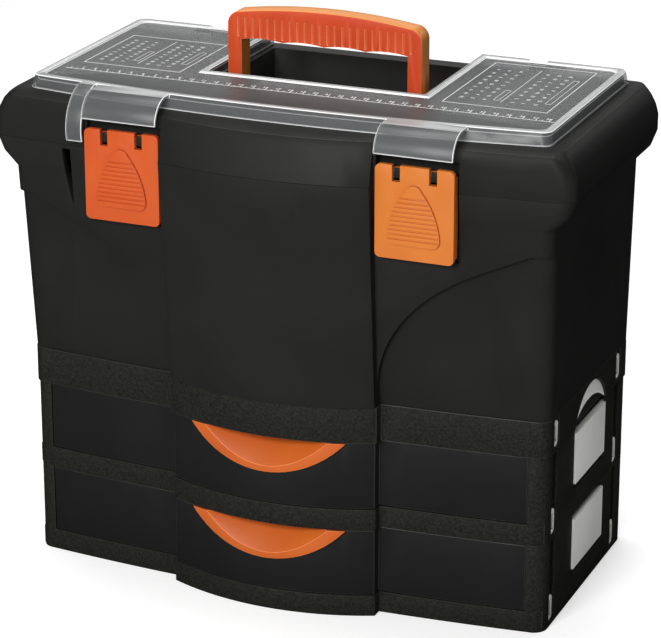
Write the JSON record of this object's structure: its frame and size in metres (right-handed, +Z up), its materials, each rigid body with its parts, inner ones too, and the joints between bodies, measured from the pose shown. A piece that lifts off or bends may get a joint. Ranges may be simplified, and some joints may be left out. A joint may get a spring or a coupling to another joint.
{
  "type": "portable tool box with drawers",
  "caption": "Portable plastic tool box: hinged bullnose lid with clear organiser cover, folding carry handle and latches, over stacked pull-out drawer modules.",
  "frame": {"origin": "on the floor under the middle of the clear cover, at the centre of the base", "axes": "+Z up, the drawers and latches face -Y, +X to the right seen from the front"},
  "size_m": [0.4576, 0.2505, 0.433],
  "materials": {
    "chest_black": "smooth moulded polypropylene",
    "frame_black": "spark-eroded moulded polypropylene",
    "drawer_black": "smooth moulded polypropylene",
    "orange_plastic": "moulded, satin gloss",
    "clear_cover": "smoke-clear moulded polystyrene",
    "pale_plastic": "moulded, satin",
    "pin_plastic": "moulded acetal"
  },
  "bodies": {
    "chest": {"chest_body": "chest_black", "skirt_frame": "frame_black", "module_frame_upper": "frame_black", "module_frame_lower": "frame_black", "lid_hinge_pins": "pin_plastic", "clips_lower": "pale_plastic", "clips_upper": "pale_plastic", "clips_skirt": "pale_plastic", "lock_tongues": "pale_plastic"},
    "lid": {"lid": "chest_black", "cover_hinge_pins": "pin_plastic"},
    "cover": {"clear_cover": "clear_cover"},
    "handle": {"handle": "orange_plastic"},
    "latch_left": {"latch_left": "orange_plastic"},
    "latch_right": {"latch_right": "orange_plastic"},
    "drawer_upper": {"drawer_upper": "drawer_black", "pull_upper": "orange_plastic"},
    "drawer_lower": {"drawer_lower": "drawer_black", "pull_lower": "orange_plastic"},
    "flap_left_upper": {"flap_left_upper": "pale_plastic"},
    "flap_left_lower": {"flap_left_lower": "pale_plastic"},
    "flap_right_upper": {"flap_right_upper": "pale_plastic"},
    "flap_right_lower": {"flap_right_lower": "pale_plastic"}
  },
  "joints": [
    {"name": "lid_hinge", "type": "hinge", "parent": "chest", "child": "lid", "pos_m": [0, 0.105, 0.341], "axis": [-1, 0, 0], "range_deg": [0, 105]},
    {"name": "cover_hinge", "type": "hinge", "parent": "lid", "child": "cover", "pos_m": [0, 0.0925, 0.38], "axis": [-1, 0, 0], "range_deg": [0, 105]},
    {"name": "handle_pivot", "type": "hinge", "parent": "lid", "child": "handle", "pos_m": [0, -0.006, 0.364], "axis": [-1, 0, 0], "range_deg": [0, 90]},
    {"name": "latch_left_pivot", "type": "hinge", "parent": "lid", "child": "latch_left", "pos_m": [-0.115, -0.1175, 0.3535], "axis": [-1, 0, 0], "range_deg": [0, 95]},
    {"name": "latch_right_pivot", "type": "hinge", "parent": "lid", "child": "latch_right", "pos_m": [0.115, -0.1175, 0.3535], "axis": [-1, 0, 0], "range_deg": [0, 95]},
    {"name": "drawer_upper_slide", "type": "slide", "parent": "chest", "child": "drawer_upper", "axis": [0, -1, 0], "range_m": [0, 0.15]},
    {"name": "flap_left_upper_pivot", "type": "hinge", "parent": "chest", "child": "flap_left_upper", "pos_m": [-0.2065, 0.006, 0.1345], "axis": [0, 1, 0], "range_deg": [0, 95]},
    {"name": "flap_right_upper_pivot", "type": "hinge", "parent": "chest", "child": "flap_right_upper", "pos_m": [0.2065, 0.006, 0.1345], "axis": [0, -1, 0], "range_deg": [0, 95]},
    {"name": "drawer_lower_slide", "type": "slide", "parent": "chest", "child": "drawer_lower", "axis": [0, -1, 0], "range_m": [0, 0.15]},
    {"name": "flap_left_lower_pivot", "type": "hinge", "parent": "chest", "child": "flap_left_lower", "pos_m": [-0.2065, 0.006, 0.0645], "axis": [0, 1, 0], "range_deg": [0, 95]},
    {"name": "flap_right_lower_pivot", "type": "hinge", "parent": "chest", "child": "flap_right_lower", "pos_m": [0.2065, 0.006, 0.0645], "axis": [0, -1, 0], "range_deg": [0, 95]}
  ]
}
